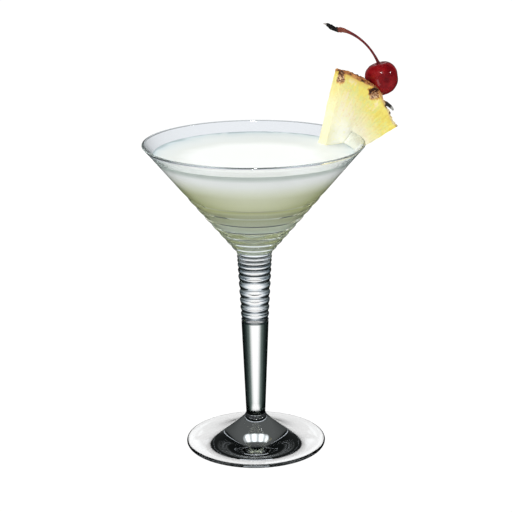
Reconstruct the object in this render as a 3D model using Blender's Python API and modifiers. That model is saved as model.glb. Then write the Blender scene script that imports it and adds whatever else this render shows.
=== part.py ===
"""Frozen pineapple daiquiri in a ribbed cocktail glass, with a pineapple wedge and a cherry.

Metres, +Z up. The origin is the centre of the foot's flat underside, so the glass stands on z = 0.
The wedge hangs over the rim at the back right, and the cherry sits on the wedge's outer corner.
"""

import math

import bmesh
import bpy
from mathutils import Euler, Matrix, Vector, noise

# Driving dimensions of the glass
GLASS_HEIGHT = 0.172
RIM_RADIUS = 0.060
RIM_WALL = 0.0012
BOWL_OUTER_SLOPE = 0.83
BOWL_INNER_SLOPE = 0.82
BOWL_INNER_CURVE = 9.5
BOWL_FLOOR_TOP = 0.1335
NECK_HEIGHT = 0.111
STEM_TOP_RADIUS = 0.0097
STEM_RIB_END_HEIGHT = 0.071
STEM_RIB_END_RADIUS = 0.0075
STEM_BASE_HEIGHT = 0.016
STEM_BASE_RADIUS = 0.0053
RIB_DEPTH = 0.00065
RIB_SINK_ON_BOWL = 0.0004
INNER_WALL_HEIGHTS = (0.138, 0.144, 0.151, 0.158, 0.165)
FOOT_RADIUS = 0.0389
FOOT_EDGE = 0.0019
FOOT_RISE = 0.0141
FOOT_CURVE = 2.15
FOOT_TOP_INSET = 0.0006
FOOT_UNDER_INSET = 0.0009
STEM_COLLAR = 0.0002
TURN_STEPS = 48

# Upper edges of the moulded ribs, from the bowl down the stem, and the last rib's lower edge
RIB_TOPS = (
    0.1430,
    0.1378,
    0.1325,
    0.1275,
    0.1228,
    0.1184,
    0.1146,
    0.1115,
    0.1091,
    0.1069,
    0.1046,
    0.1017,
    0.0982,
    0.0941,
    0.0894,
    0.0850,
    0.0806,
    0.0767,
    0.0728,
    0.0713,
)

# Each rib from its top down, as parts of its height and of its depth
RIB_SHAPE = ((0.0, 0.0), (0.08, 0.85), (0.25, 1.0), (0.68, 0.38))

# Driving dimensions of the drink
DRINK_LEVEL = 0.1662
SLUSH_RISE = 0.00035
SLUSH_RINGS = 7

# Driving dimensions of the wedge: a sector of a round slice, in the upright plane through the axis
WEDGE_AZIMUTH = math.radians(28.5)
WEDGE_THICKNESS = 0.008
WEDGE_TIP = Vector((0.0382, 0.1504))
WEDGE_LOW_ANGLE = math.radians(22.6)
WEDGE_HIGH_ANGLE = math.radians(74.8)
WEDGE_RADIUS = 0.0560
WEDGE_CORE_RADIUS = 0.0145
WEDGE_CORE_STEPS = 4
WEDGE_STEPS = 40
WEDGE_LAYERS = 6

# Rind edge of the near face: angle above level in degrees, and distance from the tip
RIND_EDGE = (
    (22.6, 0.0554),
    (28.3, 0.0540),
    (34.0, 0.0548),
    (38.6, 0.0549),
    (43.9, 0.0566),
    (48.1, 0.0587),
    (56.4, 0.0571),
    (61.5, 0.0564),
    (68.5, 0.0572),
    (74.8, 0.0576),
)
RIND_FAR_RISE = 0.0026
RIND_FAR_ANGLE = math.radians(60.0)
RIND_FAR_SPREAD = math.radians(8.5)
RIND_ROUGHNESS = 0.0005

# Eye pits in the near face: place along and up the wedge's plane, then half sizes with the depth last
EYE_PITS = (
    ((0.0737, 0.1910), (0.0034, 0.0031, 0.0016)),
    ((0.0518, 0.2024), (0.0018, 0.0023, 0.0012)),
)
BRACT_BASE = Vector((0.0807, 0.1858))
BRACT_TIP = Vector((0.0876, 0.1806))
BRACT_RADIUS = 0.0010
BRACT_OFFSET = 0.0018

# Driving dimensions of the cherry and its stem
CHERRY_CENTRE = Vector((0.0713, 0.0422, 0.1985))
CHERRY_RADIUS = 0.00885
CHERRY_TILT = math.radians(-13.0)
CHERRY_DIMPLE_DEPTH = 0.0022
CHERRY_DIMPLE_SPREAD = 0.34
CHERRY_SHOULDERS = 0.20
CHERRY_STRETCH = 1.05
STEM_ROUTE = (
    (0.0697, 0.2061, 0.00115),
    (0.0689, 0.2079, 0.00080),
    (0.0673, 0.2108, 0.00070),
    (0.0646, 0.2147, 0.00065),
    (0.0620, 0.2176, 0.00065),
    (0.0594, 0.2199, 0.00070),
    (0.0568, 0.2218, 0.00075),
    (0.0538, 0.2235, 0.00085),
    (0.0516, 0.2245, 0.00100),
    (0.0492, 0.2252, 0.00130),
    (0.0476, 0.2253, 0.00145),
    (0.0459, 0.2257, 0.00125),
    (0.0438, 0.2266, 0.00130),
    (0.0413, 0.2281, 0.00110),
    (0.0402, 0.2286, 0.00060),
    (0.0389, 0.2288, 0.00025),
)

# Touching pieces stay this far apart
GAP = 0.0003
GARNISH_GAP = 0.0005
MERGE = 0.00001


def collection(name):
    """Make a collection in the scene."""
    made = bpy.data.collections.new(name)
    bpy.context.scene.collection.children.link(made)
    return made


def material(name, colour, roughness, transmission=0.0):
    """Make a Principled material with one plain colour."""
    made = bpy.data.materials.new(name)
    made.use_nodes = True
    shader = made.node_tree.nodes["Principled BSDF"]
    shader.inputs["Base Color"].default_value = (*colour, 1.0)
    shader.inputs["Roughness"].default_value = roughness
    shader.inputs["Metallic"].default_value = 0.0
    shader.inputs["Transmission Weight"].default_value = transmission
    made.diffuse_color = (*colour, 1.0)
    return made


def add_object(name, data, target, finish=None):
    """Put object data in a collection under its own name."""
    made = bpy.data.objects.new(name, data)
    target.objects.link(made)
    if finish:
        data.materials.append(finish)
    return made


def as_mesh(source, target):
    """Replace an object by the mesh that it evaluates to, with its loose caps welded."""
    bpy.context.view_layer.update()
    graph = bpy.context.evaluated_depsgraph_get()
    mesh = bpy.data.meshes.new_from_object(source.evaluated_get(graph))
    shape = bmesh.new()
    shape.from_mesh(mesh)
    bmesh.ops.remove_doubles(shape, verts=shape.verts, dist=MERGE)
    shape.to_mesh(mesh)
    shape.free()
    name = source.name
    matrix = source.matrix_world.copy()
    bpy.data.objects.remove(source)
    made = add_object(name, mesh, target)
    made.matrix_world = matrix
    return made


def shade(target, angle):
    """Smooth an object's faces, but keep the edges sharper than the angle."""
    target.data.shade_smooth()
    target.data.set_sharp_from_angle(angle=math.radians(angle))


def turned(name, profile, target, finish=None, closed=False):
    """Turn a profile of (radius, height) points about the Z axis."""
    points = [(radius, 0.0, height) for radius, height in profile]
    edges = [(index, index + 1) for index in range(len(points) - 1)]
    if closed:
        edges.append((len(points) - 1, 0))
    mesh = bpy.data.meshes.new(name)
    mesh.from_pydata(points, edges, [])
    made = add_object(name, mesh, target, finish)
    screw = made.modifiers.new("turn", "SCREW")
    screw.steps = TURN_STEPS
    screw.render_steps = TURN_STEPS
    screw.use_merge_vertices = True
    screw.merge_threshold = MERGE
    return made


def cut(target, cutter, operation="DIFFERENCE"):
    """Add a Boolean modifier to an object."""
    boolean = target.modifiers.new(operation.lower(), "BOOLEAN")
    boolean.object = cutter
    boolean.operation = operation
    boolean.solver = "EXACT"


def hide(cutter):
    """Mark an object as a cutter."""
    cutter.hide_render = True
    cutter.display_type = "WIRE"


def grown_copy(source, distance, target):
    """Copy a mesh object with its surface pushed out, as a cutter with clearance."""
    made = add_object(source.name + "_clearance", source.data.copy(), target)
    made.matrix_world = source.matrix_world.copy()
    push = made.modifiers.new("clearance", "DISPLACE")
    push.strength = distance
    push.mid_level = 0.0
    hide(made)
    return made


def bowl_outer(height):
    """Outer radius of the bowl, without its ribs."""
    return RIM_RADIUS - BOWL_OUTER_SLOPE * (GLASS_HEIGHT - height)


def inner_slope(height):
    """Gain in the bowl's inner radius per metre of height."""
    return BOWL_INNER_SLOPE + 2.0 * BOWL_INNER_CURVE * (GLASS_HEIGHT - height)


def bowl_inner(height, inset=0.0):
    """Inner radius of the bowl, or of a surface lying inside it."""
    depth = GLASS_HEIGHT - height
    level_inset = inset * math.hypot(1.0, inner_slope(height))
    fall = (BOWL_INNER_SLOPE + BOWL_INNER_CURVE * depth) * depth
    return RIM_RADIUS - RIM_WALL - fall - level_inset


def bowl_floor(inset=0.0, steps=4):
    """Round floor of the bowl from the axis out to where it meets the wall."""
    end = math.atan(1.0 / inner_slope(BOWL_FLOOR_TOP))
    radius = bowl_inner(BOWL_FLOOR_TOP) / math.sin(end)
    centre = BOWL_FLOOR_TOP + radius * math.cos(end)
    radius -= inset
    points = []
    for step in range(steps + 1):
        angle = end * step / steps
        points.append((radius * math.sin(angle), centre - radius * math.cos(angle)))
    return points


def stem_radius(height):
    """Radius of the stem, a slow taper that steepens where the ribs begin."""
    if height > STEM_RIB_END_HEIGHT:
        share = (height - STEM_RIB_END_HEIGHT) / (NECK_HEIGHT - STEM_RIB_END_HEIGHT)
        return STEM_RIB_END_RADIUS + share * (STEM_TOP_RADIUS - STEM_RIB_END_RADIUS)
    share = (height - STEM_BASE_HEIGHT) / (STEM_RIB_END_HEIGHT - STEM_BASE_HEIGHT)
    return STEM_BASE_RADIUS + share * (STEM_RIB_END_RADIUS - STEM_BASE_RADIUS)


def rib_root(height):
    """Radius at the bottom of the grooves between the ribs."""
    if height > NECK_HEIGHT:
        return bowl_outer(height) - RIB_SINK_ON_BOWL
    return stem_radius(height) - RIB_DEPTH


def ribs():
    """Rings moulded round the glass, each with a sharp upper edge and a long taper below."""
    points = []
    for top, bottom in zip(RIB_TOPS, RIB_TOPS[1:]):
        for drop, rise in RIB_SHAPE:
            height = top - drop * (top - bottom)
            points.append((rib_root(height) + rise * RIB_DEPTH, height))
    return points


def foot_top(steps=9):
    """Upper face of the foot, a low hollow cone from the stem out to the edge."""
    points = []
    for step in range(1, steps + 1):
        share = 1.0 - step / steps
        outer = FOOT_RADIUS - FOOT_TOP_INSET
        height = FOOT_EDGE + FOOT_RISE * share ** FOOT_CURVE
        points.append((outer - share * (outer - STEM_BASE_RADIUS), height))
    return points


def glass_profile():
    """Half section of the glass, from the bowl's floor over the rim and down to the foot."""
    rim_start = GLASS_HEIGHT - RIM_WALL / 2
    rim_shoulder = GLASS_HEIGHT - RIM_WALL * 0.12
    rim_middle = RIM_RADIUS - RIM_WALL / 2
    inside = bowl_floor()
    inside += [(bowl_inner(z), z) for z in (*INNER_WALL_HEIGHTS, rim_start)]
    rim = [
        (rim_middle - RIM_WALL * 0.3, rim_shoulder),
        (rim_middle, GLASS_HEIGHT),
        (rim_middle + RIM_WALL * 0.3, rim_shoulder),
    ]
    outside = [(bowl_outer(z), z) for z in (rim_start, 0.157)]
    outside += ribs()
    stem = [(stem_radius(z), z) for z in (STEM_RIB_END_HEIGHT, 0.045, 0.020)]
    stem.append((STEM_BASE_RADIUS + STEM_COLLAR, STEM_BASE_HEIGHT))
    edge = [
        (FOOT_RADIUS, FOOT_EDGE * 0.62),
        (FOOT_RADIUS - FOOT_UNDER_INSET / 4, FOOT_EDGE * 0.25),
        (FOOT_RADIUS - FOOT_UNDER_INSET, 0.0),
        (0.0, 0.0),
    ]
    return inside + rim + outside + stem + foot_top() + edge


def build_glass(target):
    """The stemmed glass, one piece."""
    finish = material("clear_glass", (0.93, 0.95, 0.94), 0.02, 1.0)
    glass = turned("glass", glass_profile(), target, finish)
    shade(glass, 40)
    return glass


def slush_height(radius, angle):
    """Uneven top of the slush, a slow swirl with soft lumps."""
    swirl = math.sin(2.0 * angle + radius / 0.009)
    lumps = noise.noise(Vector((radius * math.cos(angle), radius * math.sin(angle), 0.0)) / 0.014)
    edge = min(1.0, (bowl_inner(DRINK_LEVEL) - radius) / 0.012)
    return DRINK_LEVEL + SLUSH_RISE * edge * (0.6 * swirl + 0.8 * lumps)


def build_daiquiri(target, wedge_clearance):
    """The drink, filling the bowl up to its level and cut round the wedge."""
    top_radius = bowl_inner(DRINK_LEVEL, GAP)
    profile = [(top_radius * ring / SLUSH_RINGS, DRINK_LEVEL) for ring in range(SLUSH_RINGS + 1)]
    profile += [(bowl_inner(z, GAP), z) for z in reversed(INNER_WALL_HEIGHTS)]
    profile += reversed(bowl_floor(GAP))
    daiquiri = as_mesh(turned("daiquiri", profile, target), target)
    for vertex in daiquiri.data.vertices:
        if vertex.co.z > DRINK_LEVEL - MERGE:
            radius = math.hypot(vertex.co.x, vertex.co.y)
            vertex.co.z = slush_height(radius, math.atan2(vertex.co.y, vertex.co.x))
    daiquiri.data.materials.append(material("slush", (0.86, 0.88, 0.74), 0.45))
    shade(daiquiri, 40)
    cut(daiquiri, wedge_clearance)
    return daiquiri


def rind_radius(angle, across):
    """Distance of the rind from the wedge's tip, where across runs from -1 (far) to 1 (near)."""
    degrees = math.degrees(angle)
    edge = RIND_EDGE[-1][1]
    for (low, low_radius), (high, high_radius) in zip(RIND_EDGE, RIND_EDGE[1:]):
        if low <= degrees <= high:
            share = (degrees - low) / (high - low)
            edge = low_radius + share * (high_radius - low_radius)
            break
    swell = math.exp(-(((angle - RIND_FAR_ANGLE) / RIND_FAR_SPREAD) ** 2))
    far_rise = RIND_FAR_RISE * swell * (1.0 - across) / 2
    crags = RIND_ROUGHNESS * noise.noise(Vector((angle * 14.0, across * 1.6, 3.0)))
    return edge + far_rise + crags


def wedge_outline():
    """Outline of the wedge in its own plane, from the low corner round the rind to the core."""
    points = []
    for step in range(WEDGE_STEPS + 1):
        share = step / WEDGE_STEPS
        angle = WEDGE_LOW_ANGLE + share * (WEDGE_HIGH_ANGLE - WEDGE_LOW_ANGLE)
        points.append((angle, WEDGE_RADIUS))
    for step in range(WEDGE_CORE_STEPS + 1):
        share = 1.0 - step / WEDGE_CORE_STEPS
        angle = WEDGE_LOW_ANGLE + share * (WEDGE_HIGH_ANGLE - WEDGE_LOW_ANGLE)
        points.append((angle, WEDGE_CORE_RADIUS))
    return [WEDGE_TIP + Vector((math.cos(a), math.sin(a))) * r for a, r in points]


def place_in_wedge_plane(target, along, up, offset=0.0):
    """Stand an object in the wedge's plane, its own Z axis facing out of the near face."""
    turn = Euler((math.pi / 2, 0.0, WEDGE_AZIMUTH)).to_matrix().to_4x4()
    target.matrix_world = turn @ Matrix.Translation((along, up, offset))


def roughen_rind(wedge):
    """Cut the wedge's rind into layers and press it out to the uneven edge of the fruit."""
    shape = bmesh.new()
    shape.from_mesh(wedge.data)
    half = WEDGE_THICKNESS / 2
    for layer in range(1, WEDGE_LAYERS):
        depth = -half + WEDGE_THICKNESS * layer / WEDGE_LAYERS
        everything = shape.verts[:] + shape.edges[:] + shape.faces[:]
        bmesh.ops.bisect_plane(shape, geom=everything, plane_co=(0, 0, depth), plane_no=(0, 0, 1))
    for vertex in shape.verts:
        from_tip = vertex.co.to_2d() - WEDGE_TIP
        if from_tip.length > WEDGE_RADIUS / 2:
            angle = math.atan2(from_tip.y, from_tip.x)
            angle = min(max(angle, WEDGE_LOW_ANGLE), WEDGE_HIGH_ANGLE)
            place = WEDGE_TIP + from_tip.normalized() * rind_radius(angle, vertex.co.z / half)
            vertex.co.xy = place
    shape.to_mesh(wedge.data)
    shape.free()


def rim_slot(cutters):
    """A turned shell a little thicker than the bowl's wall, which cuts the wedge's slit."""
    low = WEDGE_TIP.y
    high = GLASS_HEIGHT + GAP
    spread = GAP * math.hypot(1.0, BOWL_OUTER_SLOPE)
    profile = [
        (bowl_inner(GLASS_HEIGHT, GAP), high),
        (bowl_outer(GLASS_HEIGHT) + spread, high),
        (bowl_outer(low) + spread, low),
        (bowl_inner(low, GAP), low),
        (bowl_inner(0.158, GAP), 0.158),
        (bowl_inner(0.165, GAP), 0.165),
    ]
    slot = turned("rim_slot", profile, cutters, closed=True)
    hide(slot)
    return slot


def eye_pit(name, place, half_sizes, cutters):
    """A pit where a dry eye of the fruit was sliced open."""
    bpy.ops.mesh.primitive_uv_sphere_add(segments=12, ring_count=6, radius=1.0)
    made = bpy.context.object
    made.name = name
    for holder in list(made.users_collection):
        holder.objects.unlink(made)
    cutters.objects.link(made)
    made.data.transform(Matrix.Diagonal((*half_sizes, 1.0)))
    place_in_wedge_plane(made, *place, WEDGE_THICKNESS / 2)
    hide(made)
    return made


def bract(cutters):
    """The dry leaflet that curls off the rind below the cherry."""
    reach = BRACT_TIP - BRACT_BASE
    spike = bmesh.new()
    bmesh.ops.create_cone(
        spike,
        cap_ends=True,
        segments=7,
        radius1=BRACT_RADIUS,
        radius2=BRACT_RADIUS * 0.2,
        depth=reach.length,
    )
    lean = math.atan2(reach.y, reach.x) - math.pi / 2
    turn = Matrix.Rotation(lean, 4, "Z") @ Matrix.Rotation(-math.pi / 2, 4, "X")
    bmesh.ops.transform(spike, matrix=turn, verts=spike.verts)
    mesh = bpy.data.meshes.new("bract")
    spike.to_mesh(mesh)
    spike.free()
    made = add_object("bract", mesh, cutters)
    middle = (BRACT_BASE + BRACT_TIP) / 2
    place_in_wedge_plane(made, middle.x, middle.y, BRACT_OFFSET)
    hide(made)
    return made


def build_wedge(target, cutters):
    """The pineapple wedge, slit from its core along the wall of the bowl."""
    curve = bpy.data.curves.new("pineapple_wedge", "CURVE")
    curve.dimensions = "2D"
    curve.fill_mode = "BOTH"
    curve.extrude = WEDGE_THICKNESS / 2
    outline = wedge_outline()
    spline = curve.splines.new("POLY")
    spline.points.add(len(outline) - 1)
    for point, place in zip(spline.points, outline):
        point.co = (*place, 0.0, 1.0)
    spline.use_cyclic_u = True
    wedge = add_object("pineapple_wedge", curve, target)
    wedge = as_mesh(wedge, target)
    roughen_rind(wedge)
    place_in_wedge_plane(wedge, 0.0, 0.0)
    cut(wedge, bract(cutters), "UNION")
    cut(wedge, rim_slot(cutters))
    for index, (place, half_sizes) in enumerate(EYE_PITS):
        cut(wedge, eye_pit(f"eye_pit_{index}", place, half_sizes, cutters))
    wedge = as_mesh(wedge, target)
    wedge.data.materials.append(material("pineapple", (0.90, 0.80, 0.38), 0.45))
    shade(wedge, 35)
    return wedge


def build_cherry(target, wedge_clearance):
    """The cherry, notched where the wedge's corner presses into it."""
    bpy.ops.mesh.primitive_uv_sphere_add(segments=24, ring_count=16, radius=CHERRY_RADIUS)
    cherry = bpy.context.object
    cherry.name = "cherry"
    for holder in list(cherry.users_collection):
        holder.objects.unlink(cherry)
    target.objects.link(cherry)
    for vertex in cherry.data.vertices:
        height = vertex.co.z / CHERRY_RADIUS
        beside = math.hypot(vertex.co.x, vertex.co.y) / CHERRY_RADIUS
        shoulders = CHERRY_SHOULDERS * max(0.0, height) * (1.0 - height)
        width = 1.0 + shoulders - 0.04 * max(0.0, -height) ** 2
        vertex.co.x *= width
        vertex.co.y *= width
        vertex.co.z *= CHERRY_STRETCH
        if height > 0.0:
            dimple = math.exp(-((beside / CHERRY_DIMPLE_SPREAD) ** 2))
            vertex.co.z -= CHERRY_DIMPLE_DEPTH * dimple
    cherry.location = CHERRY_CENTRE
    cherry.rotation_euler = (0.0, CHERRY_TILT, 0.0)
    cherry.data.materials.append(material("cherry_skin", (0.28, 0.008, 0.016), 0.15))
    shade(cherry, 40)
    cut(cherry, wedge_clearance)
    return cherry


def build_cherry_stem(target):
    """The cherry's thin stem, which arches to the left and ends in a dark woody knob."""
    curve = bpy.data.curves.new("cherry_stem", "CURVE")
    curve.dimensions = "3D"
    curve.fill_mode = "FULL"
    curve.bevel_depth = 1.0
    curve.bevel_resolution = 2
    curve.use_fill_caps = True
    spline = curve.splines.new("POLY")
    spline.points.add(len(STEM_ROUTE) - 1)
    for point, (x, z, radius) in zip(spline.points, STEM_ROUTE):
        point.co = (x, CHERRY_CENTRE.y, z, 1.0)
        point.radius = radius
    stem = add_object("cherry_stem", curve, target)
    stem = as_mesh(stem, target)
    stem.data.materials.append(material("cherry_stem_skin", (0.16, 0.02, 0.02), 0.45))
    shade(stem, 50)
    return stem


for leftover in list(bpy.data.objects):
    bpy.data.objects.remove(leftover)

parts = collection("frozen_pineapple_daiquiri")
cutter_shapes = collection("cutters")
build_glass(parts)
wedge_piece = build_wedge(parts, cutter_shapes)
clearance = grown_copy(wedge_piece, GARNISH_GAP, cutter_shapes)
build_daiquiri(parts, clearance)
build_cherry(parts, clearance)
build_cherry_stem(parts)
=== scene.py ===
"""Looks of a frozen pineapple daiquiri in its ringed glass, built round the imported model."""

import math

import bmesh
import bpy
from mathutils import Euler, Matrix, Vector, noise


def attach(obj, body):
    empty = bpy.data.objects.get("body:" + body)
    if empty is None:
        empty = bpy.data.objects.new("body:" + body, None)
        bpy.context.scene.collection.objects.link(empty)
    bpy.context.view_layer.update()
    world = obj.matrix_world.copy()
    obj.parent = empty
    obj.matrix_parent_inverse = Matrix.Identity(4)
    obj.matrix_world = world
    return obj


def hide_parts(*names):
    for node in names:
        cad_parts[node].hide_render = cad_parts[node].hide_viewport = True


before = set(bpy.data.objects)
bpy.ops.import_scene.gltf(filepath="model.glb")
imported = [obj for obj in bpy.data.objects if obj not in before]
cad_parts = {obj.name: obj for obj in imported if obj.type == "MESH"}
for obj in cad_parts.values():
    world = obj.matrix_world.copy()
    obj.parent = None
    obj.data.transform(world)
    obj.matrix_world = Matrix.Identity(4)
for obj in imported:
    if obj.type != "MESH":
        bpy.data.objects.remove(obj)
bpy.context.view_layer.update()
bpy.ops.object.select_all(action="DESELECT")
scene = bpy.context.scene


# Camera: a long lens looking down at the glass from the front, tipped half a degree to one side
# as in the photograph.
CAMERA_PLACE = (0.0, -0.8176, 0.3528)
CAMERA_PITCH = math.radians(90.0 - 16.631)
CAMERA_ROLL = math.radians(-0.49)
LENS_MM = 110.05
SENSOR_MM = 36.0
VIEW_END = 30.0
FRAME_SHIFT = 0.00295

bpy.ops.object.camera_add(location=CAMERA_PLACE)
camera = bpy.context.object
camera.name = "photo_camera"
turn = Matrix.Rotation(CAMERA_PITCH, 3, "X") @ Matrix.Rotation(CAMERA_ROLL, 3, "Z")
camera.rotation_euler = turn.to_euler()
camera.data.lens = LENS_MM
camera.data.sensor_width = SENSOR_MM
camera.data.shift_x = FRAME_SHIFT
camera.data.clip_end = VIEW_END
scene.camera = camera


# Studio: a white table that glows a little, so that hardly any shadow falls on it, under soft
# boxes in a black room with grey end walls and a barred window behind. Mirrored light finds the
# table dark, which gives clear glass its black edges, and the room shows only in the pieces.
FLOOR_SIZE = 12.0
FLOOR_DROP = 0.0002
FLOOR_WHITE = (1.06, 1.06, 1.06)
FLOOR_LIT = (1.7, 1.7, 1.7)
FLOOR_MIRRORED = (0.004, 0.005, 0.005)
FLOOR_MIRRORED_FAR = (0.85, 0.92, 1.00)
MIRRORED_RISE = (0.045, 0.10)
MIRRORED_END = 0.60
ROOM_BLACK = (0.004, 0.005, 0.005)
ROOM_GREY = (0.095, 0.102, 0.102)
WALL_RISE = (0.45, 0.85)
SOFT_BOXES = {
    # name: place, width, power in watts, colour, seen in reflections
    "key_box": ((0.00, -1.10, 1.25), 0.16, 7.0, (1.0, 1.0, 1.0), True),
    "side_box": ((1.25, -0.30, 0.80), 0.18, 2.5, (1.0, 1.0, 1.0), True),
    "fill_box": ((-1.35, -0.55, 1.00), 0.90, 12.0, (1.0, 1.0, 1.0), False),
    "top_box": ((0.00, 0.55, 1.80), 1.10, 26.0, (1.0, 1.0, 1.0), False),
}
AIM = Vector((0.0, 0.0, 0.14))
WINDOW_DIRECTION = (0.0, 0.96, 0.452)
WINDOW_SPREAD = (1.0 / 0.27, 0.0, 1.0 / 0.065)
WINDOW_EDGE = (1.1, 0.8)
WINDOW_BARS = 46.0
WINDOW_BAR_SHADE = (-1.0, 0.6, 0.35, 1.0)
WINDOW_LIGHT = (1.5, 1.6, 1.65)


def feed(tree, socket, source):
    """Link a socket to another one, or set it to a number, a vector or a plain colour."""
    if isinstance(source, bpy.types.NodeSocket):
        tree.links.new(source, socket)
    elif isinstance(source, tuple) and socket.type == "RGBA":
        socket.default_value = (*source, 1.0)
    else:
        socket.default_value = source


def value_node(tree, operation, *sources):
    """A maths node on sockets or numbers, giving its result."""
    node = tree.nodes.new("ShaderNodeMath")
    node.operation = operation
    for socket, source in zip(node.inputs, sources):
        feed(tree, socket, source)
    return node.outputs["Value"]


def vector_node(tree, operation, *sources):
    """A maths node on vectors, giving its result, which is a number for a length."""
    node = tree.nodes.new("ShaderNodeVectorMath")
    node.operation = operation
    for socket, source in zip(node.inputs, sources):
        feed(tree, socket, source)
    return node.outputs["Value" if operation == "LENGTH" else "Vector"]


def split_axes(tree, vector):
    """The X, Y and Z of a vector."""
    node = tree.nodes.new("ShaderNodeSeparateXYZ")
    tree.links.new(vector, node.inputs["Vector"])
    return node.outputs


def range_node(tree, source, low, high, out_low=0.0, out_high=1.0):
    """Bring a value from one range into another, held inside it."""
    node = tree.nodes.new("ShaderNodeMapRange")
    node.inputs["From Min"].default_value = low
    node.inputs["From Max"].default_value = high
    node.inputs["To Min"].default_value = out_low
    node.inputs["To Max"].default_value = out_high
    tree.links.new(source, node.inputs["Value"])
    return node.outputs["Result"]


def colour_mix(tree, factor, first, second, blend="MIX"):
    """Blend two colours, each a socket or a plain colour, by a factor."""
    node = tree.nodes.new("ShaderNodeMix")
    node.data_type = "RGBA"
    node.blend_type = blend
    feed(tree, node.inputs["Factor"], factor)
    feed(tree, node.inputs["A"], first)
    feed(tree, node.inputs["B"], second)
    return node.outputs["Result"]


def new_finish(name):
    """A new material, its node tree and its main shader."""
    made = bpy.data.materials.new(name)
    made.use_nodes = True
    return made, made.node_tree, made.node_tree.nodes["Principled BSDF"]


bpy.ops.mesh.primitive_plane_add(size=FLOOR_SIZE, location=(0.0, 0.0, -FLOOR_DROP))
table = bpy.context.object
table.name = "table_top"
bpy.ops.object.transform_apply(location=True)
finish, tree, shader = new_finish("white_table")
shader.inputs["Base Color"].default_value = (0.0, 0.0, 0.0, 1.0)
shader.inputs["Roughness"].default_value = 1.0
shader.inputs["Specular IOR Level"].default_value = 0.0
shader.inputs["Emission Strength"].default_value = 1.0
place = tree.nodes.new("ShaderNodeTexCoord")
path = tree.nodes.new("ShaderNodeLightPath")
away = vector_node(tree, "LENGTH", place.outputs["Object"])
belt = value_node(tree, "LESS_THAN", away, MIRRORED_END)
belt = value_node(tree, "MULTIPLY", range_node(tree, away, *MIRRORED_RISE), belt)
through = value_node(tree, "MULTIPLY", belt, path.outputs["Transmission Depth"])
through.node.use_clamp = True
mirrored = colour_mix(tree, through, FLOOR_MIRRORED, FLOOR_MIRRORED_FAR)
shown = colour_mix(tree, path.outputs["Glossy Depth"], FLOOR_WHITE, mirrored)
shown = colour_mix(tree, path.outputs["Diffuse Depth"], shown, FLOOR_LIT)
tree.links.new(shown, shader.inputs["Emission Color"])
table.data.materials.append(finish)

for name, (spot, width, power, colour, in_mirrors) in SOFT_BOXES.items():
    bpy.ops.object.light_add(type="AREA", location=spot)
    lamp = bpy.context.object
    lamp.name = name
    lamp.data.shape = "SQUARE"
    lamp.data.size = width
    lamp.data.energy = power
    lamp.data.color = colour
    lamp.rotation_euler = (AIM - Vector(spot)).to_track_quat("-Z", "Y").to_euler()
    lamp.visible_transmission = False
    lamp.visible_camera = False
    lamp.visible_glossy = in_mirrors

world = bpy.data.worlds.new("studio_room")
world.use_nodes = True
scene.world = world
tree = world.node_tree
direction = tree.nodes.new("ShaderNodeTexCoord").outputs["Generated"]
axes = split_axes(tree, direction)
wall = range_node(tree, value_node(tree, "ABSOLUTE", axes["Y"]), *WALL_RISE)
room = colour_mix(tree, wall, ROOM_BLACK, ROOM_GREY)
off_window = vector_node(tree, "SUBTRACT", direction, WINDOW_DIRECTION)
off_window = vector_node(tree, "MULTIPLY", off_window, WINDOW_SPREAD)
inside = range_node(tree, vector_node(tree, "LENGTH", off_window), *WINDOW_EDGE)
behind = value_node(tree, "GREATER_THAN", axes["Y"], 0.0)
inside = value_node(tree, "MULTIPLY", inside, behind)
bars = value_node(tree, "SINE", value_node(tree, "MULTIPLY", axes["X"], WINDOW_BARS))
inside = value_node(tree, "MULTIPLY", inside, range_node(tree, bars, *WINDOW_BAR_SHADE))
room = colour_mix(tree, inside, room, WINDOW_LIGHT)
path = tree.nodes.new("ShaderNodeLightPath")
backdrop = colour_mix(tree, path.outputs["Is Camera Ray"], room, (1.0, 1.0, 1.0))
tree.links.new(backdrop, tree.nodes["Background"].inputs["Color"])

scene.view_settings.view_transform = "Standard"
scene.cycles.max_bounces = 24
scene.cycles.transmission_bounces = 20
scene.cycles.transparent_max_bounces = 16
scene.cycles.glossy_bounces = 8
scene.cycles.diffuse_bounces = 4
scene.cycles.caustics_refractive = True
scene.cycles.caustics_reflective = False
scene.cycles.blur_glossy = 0.3


# Glass: one piece of clear soda-lime glass, pressed and polished. Its bowl is thin at the rim and
# thick below, and rings are moulded round the foot of the bowl and the upper stem.
GLASS_HEIGHT = 0.172
RIM_RADIUS = 0.060
RIM_WALL = 0.0012
RIM_INSET = 0.0003
BOWL_OUTER_SLOPE = 0.83
BOWL_INNER_SLOPE = 0.82
BOWL_INNER_CURVE = 9.5
BOWL_FLOOR_TOP = 0.1335
NECK_HEIGHT = 0.111
STEM_TOP_RADIUS = 0.0097
STEM_RIB_END_HEIGHT = 0.071
STEM_RIB_END_RADIUS = 0.0075
STEM_BASE_HEIGHT = 0.016
STEM_BASE_RADIUS = 0.0053
RIB_DEPTH = 0.00065
RIB_SINK_ON_BOWL = 0.0004
RIB_CREST = 0.22
RIB_STEPS = 9
RIB_TOPS = (
    # upper edges from the bowl down the stem, and the last one's lower edge
    0.1430,
    0.1378,
    0.1325,
    0.1275,
    0.1228,
    0.1184,
    0.1146,
    0.1115,
    0.1091,
    0.1069,
    0.1046,
    0.1017,
    0.0982,
    0.0941,
    0.0894,
    0.0850,
    0.0806,
    0.0767,
    0.0728,
    0.0713,
)
COLLAR_TOP = 0.0185
COLLAR = (
    # bulge from the stem's base radius, height
    (0.00005, 0.0178),
    (0.00030, 0.0168),
)
FOOT_RADIUS = 0.0389
FOOT_EDGE = 0.0019
FOOT_RISE = 0.0141
FOOT_CURVE = 2.15
FOOT_STEPS = 24
FOOT_OUTER_INSET = 0.0006
FOOT_INNER_GAP = 0.0002
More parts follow.
